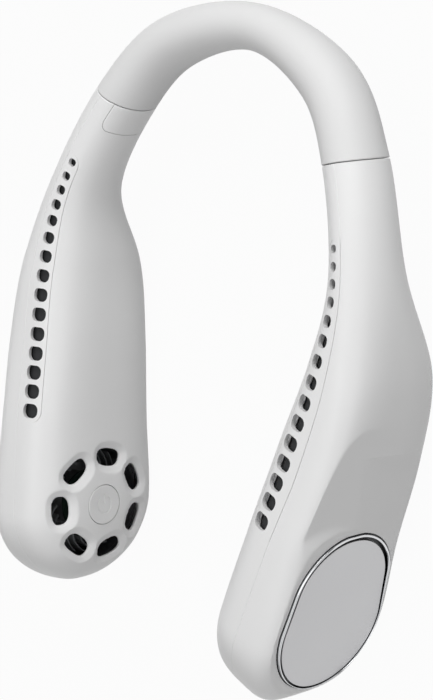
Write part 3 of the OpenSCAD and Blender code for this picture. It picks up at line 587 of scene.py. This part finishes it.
def shapeOuter(points):
    # the leaning facet, the flat face, and its dished rim round the bezel
    f = toFan(points)
    near = (f[..., 2] > reach["out"]) & (f[..., 0] > 0) & (f[..., 0] < reach["run"])
    facet = scoop["facetOut"] - math.tan(scoop["facetLean"]) * f[..., 1]
    facet = facet + scoop["archRise"] * eased(f[..., 0], scoop["archFrom"], scoop["archTo"])
    ramp = scoop["rampOut"] - math.tan(scoop["rampLean"]) * (f[..., 0] - scoop["rampX"])
    q = toFace(points)
    m = np.full(near.shape, farOff)
    m[near] = outlineDistance(q[near][:, :2], faceOutline(seatForm, 0))
    drop = scoop["padDrop"] * (m - scoop["padWide"]) / scoop["padRun"]
    pad = arm["faceOut"] - math.tan(arm["slant"]) * f[..., 0] - drop
    kept = -softLeast(softLeast(-facet, -ramp, scoop["rampSoft"]), -pad, scoop["padSoft"])
    nearness = np.clip(1 - (m - scoop["edgeNear"]) / scoop["edgeRun"], 0, 1)
    soft = scoop["edgeSoft"] + scoop["edgeSofter"] * nearness
    f[..., 2] = np.where(near, softLeast(f[..., 2], kept, soft), f[..., 2])
    q = toFace(fromFan(f))
    z = softLeast(q[..., 2], 0 * q[..., 2], shell["faceSoft"])
    near = (q[..., 2] > -reach["faceDeep"]) & (np.abs(q[..., 0]) < reach["faceRun"])
    flat = q[near][:, :2]
    m, d = np.full(z.shape, farOff), np.full(z.shape, farOff)
    m[near] = outlineDistance(flat, faceOutline(seatForm, shell["bezelWide"] + shell["fit"]))
    d[near] = np.maximum(outlineDistance(flat, bezelOutline(shell["fit"])), 0)
    # the dish runs from the bezel's outline up to a fixed width outside the seat
    w = d / np.maximum(d + shell["dishWide"] - m, 0.001)
    inDish = shell["dishDepth"] * (w ** shell["dishPower"] - 1)
    dish = np.where(m < shell["dishWide"], inDish, m - shell["dishWide"])
    z = np.where(m < shell["dishReach"], softLeast(z, dish, shell["dishSoft"]), z)
    q[..., 2] = np.where(near, z, q[..., 2])
    return fromFace(q)


def shapeInner(points):
    # the petals round the intakes, with rounded lips
    q = toFan(points)
    high = q[..., 1] - shell["ringRise"]
    r = np.hypot(q[..., 0], high)
    near = (q[..., 2] < -reach["in"]) & (r < reach["ring"])
    step = 2 * math.pi / shell["intakes"]
    a = np.arctan2(high, q[..., 0]) - math.pi / 2
    a = (a + step / 2) % step - step / 2
    local = np.stack([r * np.cos(a), r * np.sin(a)], -1)
    m = np.full(r.shape, farOff)
    m[near] = outlineDistance(local[near], intakeOutline(0))
    w = np.maximum(m, 0) / shell["petalWide"]
    petal = np.where(w < 1, np.maximum(1 - w, 0) ** shell["petalPower"], 0)
    lip = np.clip(1 - np.maximum(m, 0) / shell["lipRound"], 0, 1)
    depth = shell["petalDepth"] * petal + shell["lipRound"] * (1 - np.sqrt(1 - lip ** 2))
    q[..., 2] = np.where(near, q[..., 2] + depth, q[..., 2])
    return fromFan(q)


def wallRows(us, a0, a1, shaper, faceWall):
    # rings of a wall: a fine row of outer points, then a coarse row of inner points back
    rows = []
    n, k = shell["ringPoints"], shell["insidePoints"]
    c = shell["chamfer"]
    for i, u in enumerate(us):
        first, last = (float(x(u)) if callable(x) else x for x in (a0, a1))
        nick = turnFor(c, u)
        angles = np.concatenate([[first], np.linspace(first + nick, last - nick, n), [last]])
        inset = np.full(n + 2, c if i == 0 else 0.0)
        inset[[0, -1]] = c if leftOfTip(u) > 2 * c else 0
        outer = skinAt(u, angles, inset)
        back = np.linspace(last, first, k)
        left = float(leftOfTip(u))
        if left < arm["wall"] + 0.01:       # the tip's last rings close straight across
            s = np.linspace(1, 0, k)[:, None]
            inner = outer[0] + (outer[-1] - outer[0]) * (0.002 + 0.996 * s)
        else:
            inner = skinAt(u, back, arm["wall"])
            if faceWall:
                q = toFace(inner)
                q[..., 2] = np.minimum(q[..., 2], -arm["faceWall"])
                inner = fromFace(q)
        rows.append(np.concatenate([shaper(outer), inner]))
    return np.array(rows)


def fanPrism(outline, z0, z1):
    return prism(outline, z0, z1, fromFan)


def ringPrism(outline, z0, z1):
    return prism([(x, y + shell["ringRise"]) for x, y in outline], z0, z1, fromFan)


def turned(outline, degrees):
    c, s = math.cos(math.radians(degrees)), math.sin(math.radians(degrees))
    return [(x * c - y * s, x * s + y * c) for x, y in outline]


def outerShell(name, side, body):
    bm = lofted(wallRows(armStations(armStart), -90.0, partingOf, shapeOuter, True))
    places = [(screws["x"], y) for y in (screws["y"], -screws["y"])]
    z = screws["headZ"]
    foot, top = z - screws["headFloor"], z + screws["bossRise"]
    bm = carved(bm, [fanPrism(circle(screws["bossD"] / 2, *p), foot, top) for p in places], "UNION")
    # overlapping tools in one cut would leave stray solids, so each kind has its own
    bm = carved(bm, [prism(bezelOutline(shell["fit"]), -shell["seat"], clear["front"], fromFace)])
    for r, low, high in ((screws["headD"] / 2, 0, screws["headRun"]),
                         (screws["holeD"] / 2, screws["holeFrom"], screws["holeTo"])):
        bm = carved(bm, [fanPrism(circle(r, *p), z + low, z + high) for p in places])
    piece = finished(name, bm, side)
    dress(piece, whiteAbs)
    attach(piece, body)
    return piece


stripSteps = {
    "edge": 0.47, "reach": 8.9, "cornerR": 3, "cornerTurn": 7.5, "rows": 170, "wall": 1.5,
    "gap": 0.12, "chamfer": 0.1, "points": 30, "under": 1, "cutPoints": 24,
}


def stripLine(u):
    w = np.clip((u - arm["stripStart"]) / (arm["stripEnd"] - arm["stripStart"]), 0, 1)
    far = stripSteps["reach"] / float(halfThick(np.array(arm["stripEnd"])))
    return halfThick(u) * (stripSteps["edge"] + (far - stripSteps["edge"]) * w)


def stripEdge(u):
    d = np.minimum(u - arm["stripStart"], arm["stripEnd"] - u) * tipRun
    k = np.maximum(1 - np.maximum(d, 0) / stripSteps["cornerR"], 0)
    return stripLine(u) - stripSteps["cornerR"] * (1 - np.sqrt(1 - k * k))


def stripStations():
    start, end, c = arm["stripStart"], arm["stripEnd"], stripSteps["cornerR"] / tipRun
    turn = np.radians(np.arange(0, 90, stripSteps["cornerTurn"]))
    a = start + c * (1 - np.cos(turn))
    b = end - c * (1 - np.cos(turn[::-1]))
    return np.concatenate([a, np.linspace(start + c, end - c, stripSteps["rows"]), b])


def stripRows(us, low, top, m0, m1, count, chamfer=0.0):
    # a bar in the strip's place, between two depths, with its two edges moved out by m0 and m1
    rows = []
    for u in us:
        v = np.array(u)
        first = float(angleOut(v, partingOut(v) + m0))
        last = float(angleIn(v, stripEdge(v) + m1))
        nick = turnFor(chamfer, u)
        angles = np.linspace(first + nick, last - nick, count)
        if chamfer:
            angles = np.concatenate([[first], angles, [last]])
        inset = np.full(len(angles), top)
        if chamfer:
            inset[[0, -1]] = chamfer
        rows.append(np.concatenate([skinAt(u, angles, inset), skinAt(u, angles[::-1], low)]))
    return np.array(rows)


cover = {
    "topAngle": 119, "lowAngle": 215, "thick": 1.2, "cornerR": 2.4, "cornerTurn": 7.5, "rows": 16,
    "points": 60, "lap": 1.5, "gap": 0.12, "recess": 1.35, "chamfer": 0.13,
}


def coverRows(grow, top, low, chamfer=0.0):
    # the clamp cover's wall, or its recess: round corners at the end away from the seam
    c, end = cover["cornerR"] / tipRun, arm["coverEnd"] + grow / tipRun
    turn = np.radians(np.arange(90, -1, -cover["cornerTurn"]))
    start = armStart - (cover["lap"] / tipRun if grow else 0)
    us = np.linspace(start, end - c, cover["rows"])[:-1]
    us = np.concatenate([us, end - c * (1 - np.cos(turn))])
    rows = []
    for i, u in enumerate(us):
        k = max(1 - (end - u) / c, 0)
        cut = cover["cornerR"] * (1 - math.sqrt(max(1 - k * k, 0))) - grow
        turnIn = turnFor(cut, u)
        first, last = cover["topAngle"] + turnIn, cover["lowAngle"] - turnIn
        angles = np.linspace(first, last, cover["points"])
        inset = np.full(cover["points"], top)
        inset[[0, -1]] += chamfer
        if i in (0, len(us) - 1):
            inset[:] = top + chamfer
        rows.append(np.concatenate([skinAt(u, angles, inset), skinAt(u, angles[::-1], low)]))
    return np.array(rows)


port = {"x": 35.9, "z": -5, "wide": 9, "thick": 3.2, "from": 21, "to": 29, "cornerTurn": 15}


def portCutter():
    # a slot with round ends, through the underside
    r = port["thick"] / 2 + shell["fit"]
    x = (port["wide"] - port["thick"]) / 2
    slot = [(port["x"] + s * x + r * math.cos(a), port["z"] + r * math.sin(a))
            for s, start in ((1, -90), (-1, 90))
            for a in np.radians(np.arange(start, start + 181, port["cornerTurn"]))]
    return prism(slot, port["from"], port["to"], lambda p: fromFan(np.array([p[0], -p[2], p[1]])))


def innerShell(name, side, body, withButton):
    bm = lofted(wallRows(armStations(armStart), partingOf, 270.0, shapeInner, False))
    low, high = -fanHalf - clear["front"], -fanHalf + clear["behind"]
    tools = [lofted(stripRows(stripStations(), arm["wall"] + clear["above"], -clear["above"],
                              stripSteps["under"], 0, stripSteps["cutPoints"]))]
    for k in range(shell["intakes"]):
        outline = turned(intakeOutline(0), 90 + 360 * k / shell["intakes"])
        tools.append(ringPrism(outline, low, high))
    tools.append(lofted(coverRows(cover["gap"], -clear["above"], cover["recess"])))
    if withButton:
        hole = circle(shell["buttonD"] / 2 + shell["buttonGap"], count=shell["buttonPoints"])
        tools += [ringPrism(hole, low, high), portCutter()]
    piece = finished(name, carved(bm, tools), side)
    dress(piece, whiteAbs)
    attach(piece, body)
    return piece


vents = {
    "count": 15, "firstLen": 2.1, "lastLen": 3.85, "lenPower": 2.2, "firstWide": 2.2,
    "lastWide": 4.9, "wideFrom": -0.05, "wideTo": 0.78, "round": 0.42, "cornerTurn": 15,
    "root": 3.0, "high": 5, "flare": 0.5, "lean": math.radians(7),
    "crowd": 0.2, "wave": 0.0049, "halfWave": 0.0196,
    "across": 0.57, "back": 0.3, "ahead": 0.5, "aheadFrom": 0.3, "aheadTo": 0.6,
}


def ventCutter(q):
    # the cutter of one vent, q from 0 at the band's end to 1 at the fan; it widens to its root
    e = q + vents["crowd"] * q * (q - 1) + vents["wave"] * math.sin(math.pi * q)
    e -= vents["halfWave"] * math.sin(2 * math.pi * q)
    u = np.array(arm["firstVent"] + (arm["lastVent"] - arm["firstVent"]) * e)
    more = 1 - (1 - q) ** vents["lenPower"]
    run = vents["firstLen"] + (vents["lastLen"] - vents["firstLen"]) * more
    more = float(eased(q, vents["wideFrom"], vents["wideTo"]))
    wide = vents["firstWide"] + (vents["lastWide"] - vents["firstWide"]) * more
    r = min(run, wide) * vents["round"]
    outline = [(x * (run / 2 - r) + r * math.cos(a), y * (wide / 2 - r) + r * math.sin(a))
               for x, y, start in ((1, 1, 0), (-1, 1, 90), (-1, -1, 180), (1, -1, 270))
               for a in np.radians(np.arange(start, start + 91, vents["cornerTurn"]))]
    ahead = vents["ahead"] * eased(q, vents["aheadFrom"], vents["aheadTo"])
    across = vents["across"] * stripLine(u) - vents["back"] + ahead
    at = skinAt(u, angleIn(u, across), vents["root"])
    d = headingAt(u)
    turn = (Matrix.Rotation(math.atan2(d[1], d[0]), 3, "Z")
            @ Matrix.Rotation(vents["lean"], 3, "X"))

    def flared(p):
        grow = 1 + vents["flare"] * (1 - p[2] / vents["high"])
        return np.array(turn @ Vector((p[0] * grow, p[1] * grow, p[2]))) + at
    return prism(outline, 0, vents["high"], flared)


def ventStrip(name, side, body):
    gap = stripSteps["gap"]
    bm = lofted(stripRows(stripStations(), stripSteps["wall"], 0.0, -gap, -gap,
                          stripSteps["points"], stripSteps["chamfer"]))
    bm = carved(bm, [ventCutter(k / (vents["count"] - 1)) for k in range(vents["count"])])
    piece = finished(name, bm, side)
    dress(piece, whiteAbs)
    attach(piece, body)
    return piece


sleeveSteps = {"lip": 0.15, "rows": 140, "turn": 3.0, "plugGap": 0.3}


def neckSleeve(name, side):
    seam, lip = arm["seam"], sleeveSteps["lip"]
    us = np.concatenate([np.linspace(0, seam - lip / tipRun, sleeveSteps["rows"]), [seam]])
    angles = np.arange(-90, 270, sleeveSteps["turn"])
    rows = [skinAt(u, angles, lip if i == len(us) - 1 else 0.0) for i, u in enumerate(us)]
    plug = arm["wall"] + sleeveSteps["plugGap"]
    rows += [skinAt(u, angles, plug) for u in (seam, arm["plugEnd"])]
    piece = finished(name, lofted(np.array(rows)), side)
    dress(piece, bandSilicone)
    return piece


def bezelSection(wide, swing):
    # across the ring: x from the plate outward, z, and 1 where shade is painted on
    g = min(bezel["groove"] + bezel["grooveSwing"] * swing, bezel["lipShare"] * wide)
    edge = min(bezel["edge"], bezel["edgeShare"] * wide)
    lip = wide - g - edge
    floor = bezel["grooveFloor"]
    points = [(0, bezel["under"], 1), (0, floor, 1), (g - bezel["fillet"], floor, 1),
              (g, floor + bezel["filletHigh"], 1), (g, bezel["lipFoot"], 1)]
    for s in lipSteps:
        drop = bezel["shoulder"] * (1 - math.sqrt(1 - s * s))
        points.append((g + lip * (1 + s) / 2, bezel["top"] - drop, 0))
    # the narrow step outside the lip is marked 1 as well, so it gets the painted shade too
    return points + [(g + lip, bezel["edgeFloor"], 1), (wide, bezel["edgeFloor"], 1),
                     (wide, bezel["under"], 1)]


def closedGrid(values):
    # the first row and the first column repeated at the end, as one list of points
    values = np.concatenate([values, values[:1]], 0)
    values = np.concatenate([values, values[:, :1]], 1)
    return values.reshape((-1,) + values.shape[2:])


def bezelRing(name, side, body):
    # a groove next to the plate and a narrow step outside, both darkened with painted shade, and a
    # rounded polished lip between them
    inner = rimOutline(shell["fit"], plate["seatGap"] + shell["fit"])
    rows, dark = [], []
    for a, b in zip(inner, bezelOutline(0)):
        wide = float(np.linalg.norm(b - a))
        swing = float((b - faceMiddle)[0] / np.linalg.norm(b - faceMiddle))
        section = bezelSection(wide, swing)
        rows.append([list(a + (b - a) * (x / wide)) + [z] for x, z, k in section])
        dark.append([k for x, z, k in section])
    rows, dark = np.array(rows), np.array(dark, float)
    bm = bmesh.new()
    bmesh.ops.create_grid(bm, x_segments=rows.shape[1], y_segments=len(rows), size=1)
    groove = bm.verts.layers.float.new("groove")
    points = fromFace(closedGrid(rows)).tolist()
    for vert, p, k in zip(bm.verts, points, closedGrid(dark).tolist()):
        vert.co = p
        vert[groove] = k
    piece = finished(name, bm, side, 50)
    dress(piece, chromeWithPaintedShade)
    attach(piece, body)
    return piece


def coverPlate(name, side, body):
    bm = slab(rimOutline(0, plate["seatGap"]), plate["top"], plate["under"])
    bmesh.ops.recalc_face_normals(bm, faces=bm.faces)
    rim = [e for e in bm.edges if all(abs(v.co.z - plate["top"]) < 1e-6 for v in e.verts)]
    bmesh.ops.bevel(bm, geom=rim, offset=plate["round"], segments=plate["roundSteps"],
                    profile=0.5, material=-1, affect="EDGES")
    for vert in bm.verts:
        vert.co = fromFace(np.array(vert.co)).tolist()
    piece = finished(name, bm, side)
    dress(piece, platedAluminium)
    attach(piece, body)
    return piece


def clampCover(name, side, body):
    piece = finished(name, lofted(coverRows(0.0, 0.0, cover["thick"], cover["chamfer"])), side)
    dress(piece, whiteAbs)
    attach(piece, body)
    return piece


button = {                   # dish: share of the radius, depth; rim: distance inside it, depth
    "dish": ((0, 0.2), (0.5, 0.16), (0.85, 0.06)), "rim": ((0.35, 0.02), (0.12, 0.06), (0, 0.2)),
    "flange": 1.25, "flangeAt": 3.1, "back": 3.9,
}
mark = {
    "r": 3.1, "line": 0.6, "deep": 0.22, "gap": 35, "points": 40, "barFrom": 0.3, "barPast": 0.4,
}


def powerMark(z):
    # the plain power mark, sunk a little: an open arc and a bar
    turn = np.radians(np.linspace(mark["gap"], 360 - mark["gap"], mark["points"]))
    arc = [(mark["r"] * math.cos(a), mark["r"] * math.sin(a)) for a in turn]
    r = mark["r"] - mark["line"]
    back = [(r * math.cos(a), r * math.sin(a)) for a in turn[::-1]]
    h, start, end = mark["line"] / 2, mark["barFrom"], mark["r"] + mark["barPast"]
    bar = [(start, -h), (end, -h), (end, h), (start, h)]
    floor = z + button["dish"][0][1] + mark["deep"]
    return [ringPrism(outline, z - clear["above"], floor) for outline in (arc + back, bar)]


def powerButton(name, side, body):
    r = shell["buttonD"] / 2
    z = -fanHalf
    profile = [(r * s, z + h) for s, h in button["dish"]]
    profile += [(r - s, z + h) for s, h in button["rim"]]
    profile += [(r, z + button["flangeAt"]), (r + button["flange"], z + button["flangeAt"]),
                (r + button["flange"], z + button["back"]), (0, z + button["back"])]
    bm = bmesh.new()
    verts = [bm.verts.new((x, 0, h)) for x, h in profile]
    for a, b in zip(verts, verts[1:]):
        bm.edges.new((a, b))
    bmesh.ops.spin(bm, geom=list(bm.verts) + list(bm.edges), cent=(0, 0, 0), axis=(0, 0, 1),
                   angle=2 * math.pi, steps=shell["buttonPoints"], use_merge=True)
    bmesh.ops.remove_doubles(bm, verts=bm.verts, dist=0.001)
    for vert in bm.verts:
        vert.co = fromFan(np.array(vert.co) + [0, shell["ringRise"], 0]).tolist()
    bm = carved(bm, powerMark(z))
    piece = finished(name, bm, side)
    dress(piece, buttonAbs)
    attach(piece, body)
    return piece


def halfOf(name, nodeName, side, material):
    # one side of a node that bends, as a piece of its own
    bm = bmesh.new()
    bm.from_mesh(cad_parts[nodeName].data)
    bmesh.ops.remove_doubles(bm, verts=bm.verts, dist=1e-7)
    geom = list(bm.verts) + list(bm.edges) + list(bm.faces)
    bmesh.ops.bisect_plane(bm, geom=geom, plane_co=(0, 0, 0), plane_no=(-side, 0, 0),
                           clear_outer=True)
    bmesh.ops.holes_fill(bm, edges=[e for e in bm.edges if e.is_boundary], sides=0)
    facingOut(bm)
    mesh = bpy.data.meshes.new(name)
    bm.to_mesh(mesh)
    bm.free()
    mesh.shade_smooth()
    mesh.set_sharp_from_angle(angle=math.radians(40))
    piece = fromMesh(name, mesh)
    dress(piece, material)
    return piece


for word, side in (("left", -1), ("right", 1)):
    body = word + "_arm"
    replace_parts(outerShell(word + "OuterShell", side, body), word + "_outer_shell")
    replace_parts(innerShell(word + "InnerShell", side, body, side < 0), word + "_inner_shell")
    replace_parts(ventStrip(word + "VentStrip", side, body), word + "_vent_strip")
    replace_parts(bezelRing(word + "Bezel", side, body), word + "_bezel")
    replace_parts(coverPlate(word + "CoverPlate", side, body), word + "_cover_plate")
    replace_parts(clampCover(word + "ClampCover", side, body), word + "_clamp_cover")
    sleeve = neckSleeve(word + "NeckSleeve", side)
    spring = halfOf(word + "BendStrip", "bend_strip", side, springSteel)
    lead = halfOf(word + "BandWires", "band_wires", side, wirePvc)
    for piece in (sleeve, spring, lead):
        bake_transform(piece)
    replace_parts(sleeve, "neck_sleeve")
    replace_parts(spring, "bend_strip")
    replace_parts(lead, "band_wires")
    print("neck fan:", word, "arm made")
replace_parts(powerButton("powerButton", -1, "button"), "power_button")

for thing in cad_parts.values():
    slots = [m.name for m in thing.data.materials if m]
    for slotIndex, slotName in enumerate(slots):
        for key, material in slotFinish.items():
            if slotName.startswith(key):
                thing.material_slots[slotIndex].material = material

# Floor, light and camera

stageLook = {
    "floor": "#a4a4a4", "floorSize": 6.0, "skyStrength": 0.31, "ownGlow": 0.96, "horizon": 0.1,
    "fallFrom": 0.02, "fallTo": 0.55, "lampSize": 0.9, "lampAim": (0, 0, 0.02),
}
softLamps = {                # where each stands, and its power
    "napeLamp": ((0.1, 1.1, 0.6), 9.0),
    "overLamp": ((0, 0, 1.3), 2.6),
    "sideLamp": ((1.1, -0.1, 0.7), 2.6),
}
photoView = {                # focal length and height of the picture in pixels, axes and place
    "focal": 2070.786, "high": 700, "sensor": 36, "near": 0.05, "far": 30,
    "right": (0.67112046, 0.09817674, -0.73481879), "up": (-0.26930291, 0.95576682, -0.1182613),
    "back": (0.69070491, 0.27725642, 0.66787395), "at": (0.4452077, 0.1710770, 0.4497930),
}
white = (1, 1, 1, 1)

floorMesh = bmesh.new()
bmesh.ops.create_grid(floorMesh, x_segments=4, y_segments=4, size=stageLook["floorSize"])
floorData = bpy.data.meshes.new("floor")
floorMesh.to_mesh(floorData)
floorMesh.free()
floor = fromMesh("floor", floorData)
# Pale studio floor: nearly white to the camera and in gloss, and a plain grey for all other light
floorMaterial, tree = newMaterial("paleStudioFloor")
diffuse = addNode(tree, "ShaderNodeBsdfDiffuse", {"Color": hexColour(stageLook["floor"])})
glow = addNode(tree, "ShaderNodeEmission", {"Color": white, "Strength": 1.0})
rays = addNode(tree, "ShaderNodeLightPath").outputs
seen = addNode(tree, "ShaderNodeMath", {"operation": "MAXIMUM"},
               {0: rays["Is Camera Ray"], 1: rays["Is Glossy Ray"]})
share = addNode(tree, "ShaderNodeMath", {"operation": "MULTIPLY", 1: stageLook["ownGlow"]},
                {0: seen.outputs[0]})
mixed = addNode(tree, "ShaderNodeMixShader", None,
                {0: share.outputs[0], 1: diffuse.outputs[0], 2: glow.outputs[0]})
addNode(tree, "ShaderNodeOutputMaterial", None, {"Surface": mixed.outputs[0]})
dress(floor, floorMaterial)

world = bpy.context.scene.world or bpy.data.worlds.new("world")
bpy.context.scene.world = world
world.use_nodes = True
tree = world.node_tree
tree.nodes.clear()
rays = addNode(tree, "ShaderNodeLightPath").outputs
sky = addNode(tree, "ShaderNodeBackground", {"Color": white, "Strength": stageLook["skyStrength"]})
backdrop = addNode(tree, "ShaderNodeBackground", {"Color": white, "Strength": 1.0})
# what gloss sees of the studio: bright overhead, darker towards the horizon between the soft boxes
heights = addNode(tree, "ShaderNodeSeparateXYZ", None,
                  {0: addNode(tree, "ShaderNodeTexCoord").outputs["Generated"]})
fall = addNode(tree, "ShaderNodeMapRange",
               {"interpolation_type": "SMOOTHSTEP", "From Min": stageLook["fallFrom"],
                "From Max": stageLook["fallTo"], "To Min": stageLook["horizon"], "To Max": 1.0},
               {"Value": heights.outputs["Z"]})
studio = addNode(tree, "ShaderNodeBackground", {"Color": white},
                 {"Strength": fall.outputs["Result"]})
glossy = addNode(tree, "ShaderNodeMixShader", None,
                 {0: rays["Is Glossy Ray"], 1: sky.outputs[0], 2: studio.outputs[0]})
mixed = addNode(tree, "ShaderNodeMixShader", None,
                {0: rays["Is Camera Ray"], 1: glossy.outputs[0], 2: backdrop.outputs[0]})
addNode(tree, "ShaderNodeOutputWorld", None, {"Surface": mixed.outputs[0]})

for name, (place, power) in softLamps.items():
    data = bpy.data.lights.new(name, "AREA")
    data.shape, data.size, data.energy = "DISK", stageLook["lampSize"], power
    lamp = bpy.data.objects.new(name, data)
    bpy.context.collection.objects.link(lamp)
    lamp.location = place
    lamp.rotation_mode = "QUATERNION"
    aim = Vector(stageLook["lampAim"]) - Vector(place)
    lamp.rotation_quaternion = aim.to_track_quat("-Z", "Y")

cameraData = bpy.data.cameras.new("photoCamera")
camera = bpy.data.objects.new("photoCamera", cameraData)
bpy.context.collection.objects.link(camera)
cameraData.sensor_width = photoView["sensor"]
cameraData.lens = photoView["focal"] / photoView["high"] * photoView["sensor"]
cameraData.clip_start, cameraData.clip_end = photoView["near"], photoView["far"]
columns = [photoView[key] for key in ("right", "up", "back", "at")]
camera.matrix_world = Matrix([[v[i] for v in columns] for i in range(3)] + [[0, 0, 0, 1]])
bpy.context.scene.camera = camera
bpy.context.scene.view_settings.view_transform = "Standard"

print("neck fan: scene ready")
